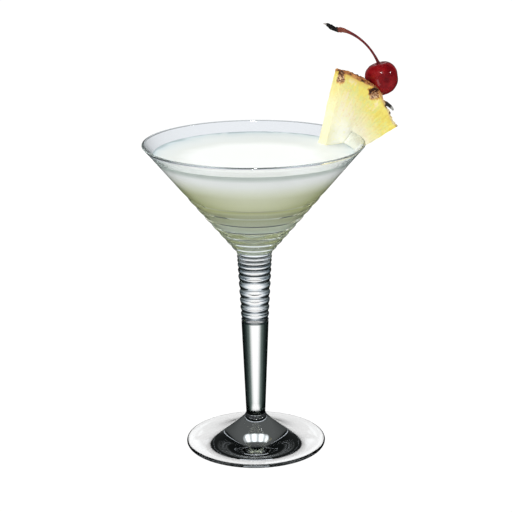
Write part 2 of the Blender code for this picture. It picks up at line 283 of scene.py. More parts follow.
FOOT_EDGE_ROUND = (
    # inset from the foot's radius, share of the edge's height
    (0.00018, 0.88),
    (0.0, 0.62),
    (0.00005, 0.40),
    (0.00030, 0.16),
    (0.0009, 0.0),
    (0.0013, 0.0),
    (0.0020, 0.0),
)
WALL_STEPS = 16
OUTER_WALL_STEPS = 6
STEM_STEPS = 8
LIP_STEPS = 8
GLASS_TURN_STEPS = 160
MERGE = 0.000005
FLAT_ANGLE = math.radians(38)
GLASS_IOR = 1.5
SHADOW_TINT = (0.92, 0.94, 0.93)
FUNNEL_TINT = (0.84, 0.91, 0.97)
FOOT_FADE = (0.014, 0.019)
RING_FADE = 0.0008
BOWL_FADE = (0.106, 0.112)
FUNNEL_FADE = (0.132, 0.126)
LIP_HEIGHTS = (0.1620, 0.1720)
LIP_TURN_BACK = (-0.035, -0.005)


def start_point(name, place):
    """Begin an open outline: a plane primitive merged to one point, left in edit mode."""
    bpy.ops.object.select_all(action="DESELECT")
    bpy.ops.mesh.primitive_plane_add(size=0.001, location=place)
    piece = bpy.context.object
    piece.name = name
    piece.data.name = name
    bpy.ops.object.transform_apply(location=True)
    bpy.ops.object.mode_set(mode="EDIT")
    bpy.ops.mesh.select_all(action="SELECT")
    bpy.ops.mesh.merge(type="CENTER")
    return piece


def trace_outline(name, points):
    """Extrude one point along a list of places, as an open outline, and stay in edit mode."""
    piece = start_point(name, points[0])
    bpy.ops.mesh.select_mode(type="VERT")
    for before, after in zip(points, points[1:]):
        step = Vector(after) - Vector(before)
        bpy.ops.mesh.extrude_region_move(TRANSFORM_OT_translate={"value": step})
    return piece


def turned_piece(name, profile, steps):
    """Spin a profile of (radius, height) pairs round the Z axis into a closed skin."""
    piece = trace_outline(name, [(radius, 0.0, height) for radius, height in profile])
    bpy.ops.mesh.select_all(action="SELECT")
    bpy.ops.mesh.spin(steps=steps, angle=2 * math.pi, center=(0, 0, 0), axis=(0, 0, 1))
    bpy.ops.mesh.select_all(action="SELECT")
    bpy.ops.mesh.remove_doubles(threshold=MERGE)
    bpy.ops.mesh.normals_make_consistent(inside=False)
    bpy.ops.object.mode_set(mode="OBJECT")
    bpy.ops.object.shade_smooth_by_angle(angle=FLAT_ANGLE)
    return piece


def bowl_outer(height):
    """Outer radius of the bowl, without its rings."""
    return RIM_RADIUS - BOWL_OUTER_SLOPE * (GLASS_HEIGHT - height)


def inner_slope(height):
    """Gain in the bowl's inner radius per metre of height."""
    return BOWL_INNER_SLOPE + 2.0 * BOWL_INNER_CURVE * (GLASS_HEIGHT - height)


def bowl_inner(height, outset=0.0):
    """Inner radius of the bowl, or of a surface that lies the outset into its wall."""
    depth = GLASS_HEIGHT - height
    level_outset = outset * math.hypot(1.0, inner_slope(height))
    fall = (BOWL_INNER_SLOPE + BOWL_INNER_CURVE * depth) * depth
    return RIM_RADIUS - RIM_WALL - fall + level_outset


def bowl_floor(outset=0.0, steps=12):
    """Round floor of the bowl, from the axis out to where it meets the wall."""
    end = math.atan(1.0 / inner_slope(BOWL_FLOOR_TOP))
    radius = bowl_inner(BOWL_FLOOR_TOP) / math.sin(end)
    centre = BOWL_FLOOR_TOP + radius * math.cos(end)
    radius += outset
    angles = [end * step / steps for step in range(steps + 1)]
    return [(radius * math.sin(a), centre - radius * math.cos(a)) for a in angles]


def stem_radius(height):
    """Radius of the stem, a slow taper that steepens where the rings begin."""
    if height > STEM_RIB_END_HEIGHT:
        share = (height - STEM_RIB_END_HEIGHT) / (NECK_HEIGHT - STEM_RIB_END_HEIGHT)
        return STEM_RIB_END_RADIUS + share * (STEM_TOP_RADIUS - STEM_RIB_END_RADIUS)
    share = (height - STEM_BASE_HEIGHT) / (STEM_RIB_END_HEIGHT - STEM_BASE_HEIGHT)
    return STEM_BASE_RADIUS + share * (STEM_RIB_END_RADIUS - STEM_BASE_RADIUS)


def rib_rise(share):
    """Height of a ring's bead, from its sharp upper edge down its long lower slope."""
    if share < RIB_CREST:
        return math.sqrt(1.0 - (1.0 - share / RIB_CREST) ** 2)
    return 0.5 + 0.5 * math.cos(math.pi * (share - RIB_CREST) / (1.0 - RIB_CREST))


def rib_root(height):
    """Radius at the bottom of the grooves between the rings."""
    if height > NECK_HEIGHT:
        return bowl_outer(height) - RIB_SINK_ON_BOWL
    return stem_radius(height) - RIB_DEPTH


def rib_stack():
    """Profile of the moulded rings, from the top down."""
    points = []
    for top, bottom in zip(RIB_TOPS, RIB_TOPS[1:]):
        for step in range(RIB_STEPS):
            share = step / RIB_STEPS
            height = top - share * (top - bottom)
            points.append((rib_root(height) + RIB_DEPTH * rib_rise(share), height))
    return points


def spread(low, high, count):
    """Evenly spaced heights between two ends, both left out."""
    return [low + (high - low) * step / (count + 1) for step in range(1, count + 1)]


def glass_profile():
    """Half section of the glass, from the floor of the bowl over the rim to the foot."""
    floor = bowl_floor()
    rim_low = GLASS_HEIGHT - RIM_WALL / 2
    inside = [(bowl_inner(z), z) for z in spread(floor[-1][1], rim_low, WALL_STEPS)]
    rim_angles = [math.pi * step / LIP_STEPS for step in range(LIP_STEPS + 1)]
    rim_middle = RIM_RADIUS - RIM_WALL / 2 - RIM_INSET
    rim = [
        (rim_middle - 0.5 * RIM_WALL * math.cos(a), rim_low + 0.5 * RIM_WALL * math.sin(a))
        for a in rim_angles
    ]
    outside = [(bowl_outer(z), z) for z in spread(rim_low, RIB_TOPS[0], OUTER_WALL_STEPS)]
    outside += rib_stack()
    stem_heights = spread(STEM_RIB_END_HEIGHT, COLLAR_TOP, STEM_STEPS)
    stem = [(stem_radius(z), z) for z in (STEM_RIB_END_HEIGHT, *stem_heights)]
    collar = [(STEM_BASE_RADIUS + bulge, height) for bulge, height in COLLAR]
    foot_outer = FOOT_RADIUS - FOOT_OUTER_INSET
    foot = []
    for step in range(1, FOOT_STEPS + 1):
        share = 1.0 - step / FOOT_STEPS
        reach = foot_outer - share * (foot_outer - STEM_BASE_RADIUS - FOOT_INNER_GAP)
        foot.append((reach, FOOT_EDGE + FOOT_RISE * share ** FOOT_CURVE))
    edge = [(FOOT_RADIUS - inset, FOOT_EDGE * share) for inset, share in FOOT_EDGE_ROUND]
    edge += [(FOOT_RADIUS * 0.5, 0.0), (0.0, 0.0)]
    return floor + inside + rim + outside + stem + collar + foot + edge


glass = turned_piece("cocktail_glass", glass_profile(), GLASS_TURN_STEPS)


def ramp_node(tree, source, stops):
    """A colour ramp over a value, with the given (position, colour) stops."""
    node = tree.nodes.new("ShaderNodeValToRGB")
    bar = node.color_ramp.elements
    while len(bar) < len(stops):
        bar.new(1.0)
    for element, (position, colour) in zip(bar, stops):
        element.position = position
        element.color = (*colour, 1.0)
    tree.links.new(source, node.inputs["Fac"])
    return node.outputs["Color"]


def facing_value(tree):
    """How far a surface turns away from the view, from 0 (square on) to 1 (edge on)."""
    node = tree.nodes.new("ShaderNodeLayerWeight")
    node.inputs["Blend"].default_value = 0.5
    return node.outputs["Facing"]


def grey(value):
    """A neutral colour."""
    return (value, value, value)


def clear_glass_material():
    """Clear glass with painted shade at its edges, more in the stem and foot than in the thin
    bowl.
    """
    made, tree, shader = new_finish("clear_glass_finish")
    shader.inputs["Roughness"].default_value = 0.0
    shader.inputs["IOR"].default_value = GLASS_IOR
    shader.inputs["Transmission Weight"].default_value = 1.0
    # Painted shade: the glass is tinted dark where it turns edge-on to the view, for the dark room
    # seen through its edges.
    facing = facing_value(tree)
    stem_edge_shade = ramp_node(tree, facing, [
        (0.00, grey(1.0)),
        (0.09, grey(1.0)),
        (0.12, (0.50, 0.53, 0.52)),
        (0.15, (0.09, 0.12, 0.11)),
        (0.19, (0.010, 0.018, 0.015)),
        (0.30, (0.001, 0.002, 0.0018)),
    ])
    bowl_edge_shade = ramp_node(tree, facing, [
        (0.00, grey(1.0)),
        (0.70, (0.98, 0.99, 0.985)),
        (0.93, (0.60, 0.65, 0.63)),
        (1.00, (0.25, 0.28, 0.27)),
    ])
    ring_edge_shade = ramp_node(tree, facing, [
        (0.00, grey(1.0)),
        (0.13, grey(1.0)),
        (0.21, (0.42, 0.49, 0.55)),
        (0.32, (0.10, 0.13, 0.15)),
        (0.52, (0.03, 0.04, 0.04)),
    ])
    place = tree.nodes.new("ShaderNodeTexCoord")
    axes = split_axes(tree, place.outputs["Object"])
    height = axes["Z"]
    tint = colour_mix(tree, range_node(tree, height, *FOOT_FADE), grey(1.0), stem_edge_shade)
    in_rings = range_node(tree, height, STEM_RIB_END_HEIGHT, STEM_RIB_END_HEIGHT + RING_FADE)
    tint = colour_mix(tree, in_rings, tint, ring_edge_shade)
    in_bowl = range_node(tree, height, *BOWL_FADE)
    tint = colour_mix(tree, in_bowl, tint, bowl_edge_shade)
    funnel = value_node(tree, "MULTIPLY", in_bowl, range_node(tree, height, *FUNNEL_FADE))
    tint = colour_mix(tree, funnel, tint, FUNNEL_TINT, "MULTIPLY")
    # Painted shade along the rim: a dark line at the lip's top, and on the back half a cool grey
    # band below it.
    lip_height = range_node(tree, height, *LIP_HEIGHTS)
    front_lip_shade = ramp_node(tree, lip_height, [
        (0.93, grey(1.0)),
        (0.96, (0.52, 0.56, 0.58)),
    ])
    back_lip_shade = ramp_node(tree, lip_height, [
        (0.00, grey(1.0)),
        (0.40, (0.85, 0.88, 0.92)),
        (0.93, (0.85, 0.88, 0.92)),
        (0.96, (0.62, 0.66, 0.68)),
    ])
    rear = range_node(tree, axes["Y"], *LIP_TURN_BACK)
    lip = colour_mix(tree, rear, front_lip_shade, back_lip_shade)
    tint = colour_mix(tree, 1.0, tint, lip, "MULTIPLY")
    tree.links.new(tint, shader.inputs["Base Color"])
    path = tree.nodes.new("ShaderNodeLightPath")
    clear = tree.nodes.new("ShaderNodeBsdfTransparent")
    feed(tree, clear.inputs["Color"], SHADOW_TINT)
    mix = tree.nodes.new("ShaderNodeMixShader")
    tree.links.new(path.outputs["Is Shadow Ray"], mix.inputs["Fac"])
    tree.links.new(shader.outputs["BSDF"], mix.inputs[1])
    tree.links.new(clear.outputs["BSDF"], mix.inputs[2])
    tree.links.new(mix.outputs["Shader"], tree.nodes["Material Output"].inputs["Surface"])
    return made


glass.data.materials.append(clear_glass_material())
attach(glass, "root")
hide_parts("glass")


# Daiquiri: pineapple and rum blended with crushed ice to a smooth slush, poured to a few
# millimetres below the rim. It is whitest on top, partly froth and partly painted light from
# above, and yellow-green lower down.
DRINK_LEVEL = 0.1662
WALL_OVERLAP = 0.00025
DRINK_TURN_STEPS = 128
DRINK_TOP_RINGS = (0.98, *(step / 20 for step in range(19, -1, -1)))
SLUSH_ROUGHNESS = 0.45
SLUSH_DEEPEST = 0.128
SWIRL_SCALE = 42.0
SWIRL_TWIST = 1.2
SWIRL_SHARE = 0.16
FRONT_SHADE = (-0.040, 0.0, 0.78, 1.0)
REAR_SHADE = (0.0, 0.028, 0.0, 0.5)
OLIVE_SHADE = (0.52, 0.53, 0.35)
OLIVE_SHADE_BESIDE = (0.195, 0.35)
OLIVE_SHADE_BELOW = (0.86, 0.62)
OLIVE_SHADE_DEEP = (0.15, 0.42, 0.35, 1.0)

drink_profile = bowl_floor(WALL_OVERLAP)
drink_profile += [
    (bowl_inner(z, WALL_OVERLAP), z)
    for z in spread(drink_profile[-1][1], DRINK_LEVEL, WALL_STEPS)
]
drink_edge = bowl_inner(DRINK_LEVEL, WALL_OVERLAP)
drink_profile.append((drink_edge, DRINK_LEVEL))
drink_profile += [(drink_edge * share, DRINK_LEVEL) for share in DRINK_TOP_RINGS]
daiquiri = turned_piece("daiquiri_slush", drink_profile, DRINK_TURN_STEPS)


def noise_node(tree, vector, scale, detail=3.0, roughness=0.55, distortion=0.0):
    """A noise pattern on the given coordinates."""
    node = tree.nodes.new("ShaderNodeTexNoise")
    node.inputs["Scale"].default_value = scale
    node.inputs["Detail"].default_value = detail
    node.inputs["Roughness"].default_value = roughness
    node.inputs["Distortion"].default_value = distortion
    tree.links.new(vector, node.inputs["Vector"])
    return node.outputs["Fac"]


def slush_material():
    """Smooth pale slush with painted light and shade: its sides change with depth and towards
    their edges, its top swirls.
    """
    made, tree, shader = new_finish("slush_finish")
    shader.inputs["Roughness"].default_value = SLUSH_ROUGHNESS
    place = tree.nodes.new("ShaderNodeTexCoord")
    axes = split_axes(tree, place.outputs["Object"])
    height = range_node(tree, axes["Z"], SLUSH_DEEPEST, DRINK_LEVEL)
    # Painted light and shade: a pale band high on the sides, partly froth, and a dark line just
    # under the surface.
    sides = ramp_node(tree, height, [
        (0.00, (0.49, 0.52, 0.42)),
        (0.35, (0.49, 0.52, 0.38)),
        (0.38, (0.72, 0.75, 0.52)),
        (0.50, (0.87, 0.91, 0.71)),
        (0.66, (0.88, 0.92, 0.78)),
        (0.82, (0.93, 0.96, 0.93)),
        (0.90, (0.92, 0.95, 0.94)),
        (0.96, (0.58, 0.65, 0.61)),
    ])
    # Painted shade: the sides turn olive where they face edge-on to the view, below the pale band,
    # less at the bottom.
    beside = range_node(tree, facing_value(tree), *OLIVE_SHADE_BESIDE)
    below = range_node(tree, height, *OLIVE_SHADE_BELOW)
    below = value_node(tree, "MULTIPLY", below, range_node(tree, height, *OLIVE_SHADE_DEEP))
    edge_shade = value_node(tree, "MULTIPLY", beside, below)
    sides = colour_mix(tree, edge_shade, sides, OLIVE_SHADE, "MULTIPLY")

    # The top swirls faintly; painted shade darkens it towards the rim, more at the back than the
    # front.
    level = vector_node(tree, "MULTIPLY", place.outputs["Object"], (1.0, 1.0, 0.0))
    swirl = noise_node(tree, level, SWIRL_SCALE, 2.0, 0.5, SWIRL_TWIST)
    outward = vector_node(tree, "LENGTH", level)
    outward = range_node(tree, outward, 0.0, bowl_inner(DRINK_LEVEL))
    front = range_node(tree, axes["Y"], *FRONT_SHADE)
    outward = value_node(tree, "MULTIPLY", outward, front)
    rear = value_node(tree, "MULTIPLY", value_node(tree, "SUBTRACT", 1.0, outward),
                      range_node(tree, axes["Y"], *REAR_SHADE))
    outward = value_node(tree, "ADD", outward, rear)
    swirl_and_shade = value_node(tree, "MULTIPLY_ADD", swirl, SWIRL_SHARE, outward)
    top = ramp_node(tree, value_node(tree, "SUBTRACT", swirl_and_shade, SWIRL_SHARE / 2), [
        (0.00, (0.90, 0.92, 0.89)),
        (0.58, (0.90, 0.92, 0.90)),
        (0.75, (0.76, 0.79, 0.76)),
        (0.88, (0.74, 0.78, 0.77)),
        (0.95, (0.67, 0.73, 0.73)),
        (0.98, (0.62, 0.70, 0.72)),
        (1.00, (0.42, 0.50, 0.52)),
    ])
    is_top = value_node(tree, "GREATER_THAN", axes["Z"], DRINK_LEVEL - 0.00005)
    tree.links.new(colour_mix(tree, is_top, sides, top), shader.inputs["Base Color"])
    return made


daiquiri.data.materials.append(slush_material())
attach(daiquiri, "root")
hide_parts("daiquiri")


# Pineapple wedge: a sector of a round slice, skin left on, slit from its core and pushed down over
# the rim. The flesh is wet and fibrous, and the skin is thin, brown and craggy.
WEDGE_AZIMUTH = math.radians(28.5)
WEDGE_THICKNESS = 0.008
WEDGE_TIP = Vector((0.0382, 0.1504))
WEDGE_LOW_ANGLE = math.radians(22.6)
WEDGE_HIGH_ANGLE = math.radians(74.8)
WEDGE_RADIUS = 0.0560
WEDGE_CORE_RADIUS = 0.0145
WEDGE_RIND_STEPS = 24
WEDGE_CORE_STEPS = 4
WEDGE_VOXEL = 0.00034
SLIT_GRIP = 0.00015
SLIT_TURN_STEPS = 96
RIND_EDGE = (
    # angle above level in degrees, distance from the tip
    (22.6, 0.0554),
    (28.3, 0.0540),
    (34.0, 0.0548),
    (38.6, 0.0549),
    (43.9, 0.0566),
    (48.1, 0.0587),
    (56.4, 0.0571),
    (61.5, 0.0564),
    (68.5, 0.0572),
    (74.8, 0.0576),
)
RIND_FAR_RISE = 0.0026
RIND_FAR_ANGLE = math.radians(60.0)
RIND_FAR_SPREAD = math.radians(8.5)
RIND_CRAGS = 0.0007
RIND_CRAG_SIZE = 0.0016
RIND_BEND_DEPTH = 0.016
RIND_DEPTH = 0.0022
RIND_SKIN = 0.0004
FIBRE_RELIEF = 0.00016
FIBRE_COARSE = (46.0, 90.0)
FIBRE_FINE = (120.0, 160.0)
PULP_RELIEF = 0.00022
PULP_COARSE = 0.0042
PULP_FINE = 0.0019
EYES = (
    # place along and up the wedge's plane, half width, half height, depth, near or far face
    ((0.0738, 0.1917), 0.0046, 0.0042, 0.0015, 1),
    ((0.0522, 0.2030), 0.0032, 0.0046, 0.0012, 1),
    ((0.0640, 0.1985), 0.0042, 0.0036, 0.0015, -1),
    ((0.0812, 0.1840), 0.0034, 0.0038, 0.0013, -1),
)
EYE_RAGGED = 0.22
EYE_RAGGED_SIZE = 0.0013
EYE_PIT_SIZE = 0.0008
BRACT_BASE = Vector((0.0803, 0.1862))
BRACT_TIP = Vector((0.0878, 0.1806))
BRACT_OFFSET = 0.0018
BRACT_WIDTH = 0.0018
BRACT_TIP_WIDTH = 0.00012
BRACT_THICKNESS = 0.00035
BRACT_CURL = 0.0011
BRACT_FOLD = 0.0006
BRACT_SWAY = 0.0003
FLESH_PALE = (0.94, 0.82, 0.44)
FLESH_GREEN = (0.80, 0.78, 0.26)
FLESH_YELLOW = (0.91, 0.79, 0.17)
FLESH_GOLD = (0.87, 0.71, 0.13)
FLESH_CORE_LIT = (0.96, 0.95, 0.80)
FLESH_RIPE = (0.80, 0.56, 0.10)
FLESH_PAINTED_GLOW = (0.26, 0.26, 0.19)
EYE_ORANGE = (0.70, 0.34, 0.06)
EYE_DARK = (0.045, 0.014, 0.008)
EYE_CREAM = (0.80, 0.56, 0.32)
RIND_DARK = (0.07, 0.022, 0.010)
RIND_BROWN = (0.34, 0.12, 0.035)
RIND_ORANGE = (0.62, 0.30, 0.09)
RIND_TAN = (0.66, 0.50, 0.20)
RIND_PALE = (0.78, 0.68, 0.36)
BRACT_DARK = (0.035, 0.030, 0.024)
BRACT_LIGHT = (0.40, 0.40, 0.38)
CORE_LIGHT_FADE = (0.055, 0.036)
LEFT_EDGE_FADE = (1.06, 1.22, 1.0, 0.72)
SIDE_FACE_RISE = (1.22, 1.30, 0.0, 0.45)
IN_BOWL_FADE = (0.026, 0.014)
UPPER_RISE = (0.66, 0.80)
RIPE_DEPTHS = (0.0004, 0.0030)
STAIN_RISE = (0.16, 0.34)
CRAG_RISE = (0.36, 0.52)


def rind_radius(angle, across):
    """Distance of the skin from the wedge's tip, where across runs from -1 (far) to 1 (near)."""
    degrees = math.degrees(angle)
    edge = RIND_EDGE[0][1] if degrees < RIND_EDGE[0][0] else RIND_EDGE[-1][1]
    for (low, low_radius), (high, high_radius) in zip(RIND_EDGE, RIND_EDGE[1:]):
        if low <= degrees <= high:
            edge = low_radius + (degrees - low) / (high - low) * (high_radius - low_radius)
            break
    swell = math.exp(-(((angle - RIND_FAR_ANGLE) / RIND_FAR_SPREAD) ** 2))
    return edge + RIND_FAR_RISE * swell * (1.0 - across) / 2


def smooth_step(value, low, high):
    """A soft step from 0 at the low value to 1 at the high one."""
    share = min(1.0, max(0.0, (value - low) / (high - low)))
    return share * share * (3.0 - 2.0 * share)


def wedge_block(name):
    """Trace the sector's outline, fill it and pull it out to its thickness, in its own plane."""
    span = WEDGE_HIGH_ANGLE - WEDGE_LOW_ANGLE
    rind = [
        (WEDGE_LOW_ANGLE + span * step / WEDGE_RIND_STEPS, WEDGE_RADIUS)
        for step in range(WEDGE_RIND_STEPS + 1)
    ]
    core = [
        (WEDGE_HIGH_ANGLE - span * step / WEDGE_CORE_STEPS, WEDGE_CORE_RADIUS)
        for step in range(WEDGE_CORE_STEPS + 1)
    ]
    outline = [WEDGE_TIP + Vector((math.cos(a), math.sin(a))) * r for a, r in rind + core]
    piece = trace_outline(name, [(x, y, -WEDGE_THICKNESS / 2) for x, y in outline])
    bpy.ops.mesh.select_all(action="SELECT")
    bpy.ops.mesh.edge_face_add()
    pull = (0.0, 0.0, WEDGE_THICKNESS)
    bpy.ops.mesh.extrude_region_move(TRANSFORM_OT_translate={"value": pull})
    bpy.ops.mesh.select_all(action="SELECT")
    bpy.ops.mesh.normals_make_consistent(inside=False)
    bpy.ops.object.mode_set(mode="OBJECT")
    return piece


def select_only(piece):
    """Make one object the only selected and the active one."""
    bpy.ops.object.select_all(action="DESELECT")
    piece.select_set(True)
    bpy.context.view_layer.objects.active = piece


def stand_in_wedge_plane(piece):
    """Turn a piece from its own plane into the upright plane of the wedge."""
    select_only(piece)
    piece.rotation_euler = (math.pi / 2, 0.0, WEDGE_AZIMUTH)
    bpy.ops.object.transform_apply(rotation=True)


def apply_boolean(piece, cutter):
    """Cut one piece by another and delete the cutter."""
    select_only(piece)
    boolean = piece.modifiers.new("cut", "BOOLEAN")
    boolean.object = cutter
    boolean.solver = "EXACT"
    bpy.ops.object.modifier_apply(modifier=boolean.name)
    bpy.data.objects.remove(cutter)


def slit_shell():
    """A turned shell a little thinner than the bowl's wall, so that the flesh grips the glass."""
    outer_grip = SLIT_GRIP * math.hypot(1.0, BOWL_OUTER_SLOPE)
    low = WEDGE_TIP.y
    high = GLASS_HEIGHT - SLIT_GRIP
    profile = [(bowl_outer(z) - outer_grip, z) for z in (high, low)]
    profile += [(bowl_inner(z, SLIT_GRIP), z) for z in (low, *spread(low, high, 5), high)]
    profile.append(profile[0])
    return turned_piece("rim_slit", profile, SLIT_TURN_STEPS)


def eye_share(place, eye):
    """How far inside an eye a place is, from 0 at its ragged edge to 1, and how high in it."""
    (eye_along, eye_up), half_width, half_height, _, face = eye
    if place.z * face < 0.0:
        return 0.0, 0.0
    across = abs(place.x - eye_along) / half_width
    rise = (place.y - eye_up) / half_height
    ragged = EYE_RAGGED * noise.noise(place / EYE_RAGGED_SIZE)
    reach = max(across - 0.28 * rise, abs(rise) + 0.15 * across) + ragged
    return 1.0 - smooth_step(reach, 0.30, 1.0), rise


def carve_wedge(piece):
    """Press the skin out to its crags, sink the eyes and raise the fibres, vertex by vertex."""
    mesh = piece.data
    for name in ("from_rind", "eye", "eye_rise", "bract"):
        mesh.attributes.new(name, "FLOAT", "POINT")
    shape = bmesh.new()
    shape.from_mesh(mesh)
    shape.normal_update()
    half = WEDGE_THICKNESS / 2
    for vertex in shape.verts:
        along, up, out = vertex.co
        from_tip = Vector((along, up)) - WEDGE_TIP
        reach = from_tip.length
        angle = math.atan2(from_tip.y, from_tip.x)
        across = max(-1.0, min(1.0, out / half))
        skin = rind_radius(angle, across)
        outward = from_tip.normalized()
        skin_start = WEDGE_RADIUS - RIND_SKIN
        skin_share = smooth_step(reach, WEDGE_RADIUS - RIND_BEND_DEPTH, skin_start)
        near_rind = smooth_step(reach, WEDGE_RADIUS - RIND_DEPTH, skin_start)
        crag = noise.fractal(vertex.co / RIND_CRAG_SIZE, 0.8, 2.0, 4)
        turns, lengths = FIBRE_COARSE
        fibre = noise.noise(Vector((angle * turns, reach * lengths, across * 2.0)))
        turns, lengths = FIBRE_FINE
        fine_place = Vector((angle * turns, reach * lengths, across * 3.0 + 7.0))
        fibre += 0.6 * noise.noise(fine_place)
        pulp = noise.noise(vertex.co / PULP_COARSE) + 0.5 * noise.noise(vertex.co / PULP_FINE)
        relief = (1.0 - near_rind) * (FIBRE_RELIEF * fibre + PULP_RELIEF * pulp)
        pitted = 0.75 + 0.6 * noise.noise(vertex.co / EYE_PIT_SIZE)
        for eye in EYES:
            share, _ = eye_share(vertex.co, eye)
            eye_depth = eye[3]
            relief -= share * eye_depth * pitted * smooth_step(abs(out), half * 0.5, half * 0.9)
        vertex.co += vertex.normal * relief
        shift = (skin - WEDGE_RADIUS) * skin_share + near_rind * RIND_CRAGS * crag
        vertex.co.x += outward.x * shift
        vertex.co.y += outward.y * shift
    shape.to_mesh(mesh)
    shape.free()
    for vertex in mesh.vertices:
        from_tip = vertex.co.to_2d() - WEDGE_TIP
        angle = math.atan2(from_tip.y, from_tip.x)
        across = max(-1.0, min(1.0, vertex.co.z / half))
        depth = rind_radius(angle, across) - from_tip.length
        share, rise = max(eye_share(vertex.co, each) for each in EYES)
        mesh.attributes["from_rind"].data[vertex.index].value = depth
        mesh.attributes["eye"].data[vertex.index].value = share
        mesh.attributes["eye_rise"].data[vertex.index].value = rise


def dry_bract():
    """A curled dry leaflet, drawn out from a flat grid in the wedge's plane."""
    bpy.ops.object.select_all(action="DESELECT")
    bpy.ops.mesh.primitive_grid_add(x_subdivisions=14, y_subdivisions=6, size=1.0)
    leaf = bpy.context.object
    leaf.name = "dry_bract"
    along = leaf.data.attributes.new("bract", "FLOAT", "POINT")
    reach = BRACT_TIP - BRACT_BASE
    beside = Vector((-reach.y, reach.x)).normalized()
    for vertex in leaf.data.vertices:
        share = vertex.co.x + 0.5
        side = vertex.co.y * 2.0
        width = BRACT_WIDTH / 2 * (1.0 - share) ** 0.6 + BRACT_TIP_WIDTH
        curl = BRACT_CURL * math.sin(3.4 * share) + BRACT_FOLD * side * side
        ragged = BRACT_SWAY * noise.noise(vertex.co * 6.0)
        place = BRACT_BASE + reach * share + beside * (side * width + ragged)
        place += beside * BRACT_SWAY * math.sin(math.pi * share)
        vertex.co = (place.x, place.y, BRACT_OFFSET + curl)
        along.data[vertex.index].value = 0.15 + share
    select_only(leaf)
    solidify = leaf.modifiers.new("thickness", "SOLIDIFY")
    solidify.thickness = BRACT_THICKNESS
    bpy.ops.object.modifier_apply(modifier=solidify.name)


WEDGE_STAND = Euler((math.pi / 2, 0.0, WEDGE_AZIMUTH)).to_matrix().to_4x4()

wedge_cutter = wedge_block("wedge_corner")
stand_in_wedge_plane(wedge_cutter)
wedge = wedge_block("pineapple_wedge_garnish")
slit = slit_shell()
slit.data.transform(WEDGE_STAND.inverted())
apply_boolean(wedge, slit)
wedge.data.remesh_voxel_size = WEDGE_VOXEL
wedge.data.remesh_voxel_adaptivity = 0.0
select_only(wedge)
bpy.ops.object.voxel_remesh()
carve_wedge(wedge)
dry_bract()
wedge.select_set(True)
bpy.context.view_layer.objects.active = wedge
bpy.ops.object.join()
stand_in_wedge_plane(wedge)
bpy.ops.object.shade_smooth()


def attribute_value(tree, name):
    """The number that each vertex of the piece carries under a name."""
    node = tree.nodes.new("ShaderNodeAttribute")
    node.attribute_name = name
    return node.outputs["Fac"]


def bump_node(tree, height, strength, distance):
    """The surface's normal, tilted by a pattern's height."""
    node = tree.nodes.new("ShaderNodeBump")
    node.inputs["Strength"].default_value = strength
    node.inputs["Distance"].default_value = distance
    tree.links.new(height, node.inputs["Height"])
    return node.outputs["Normal"]


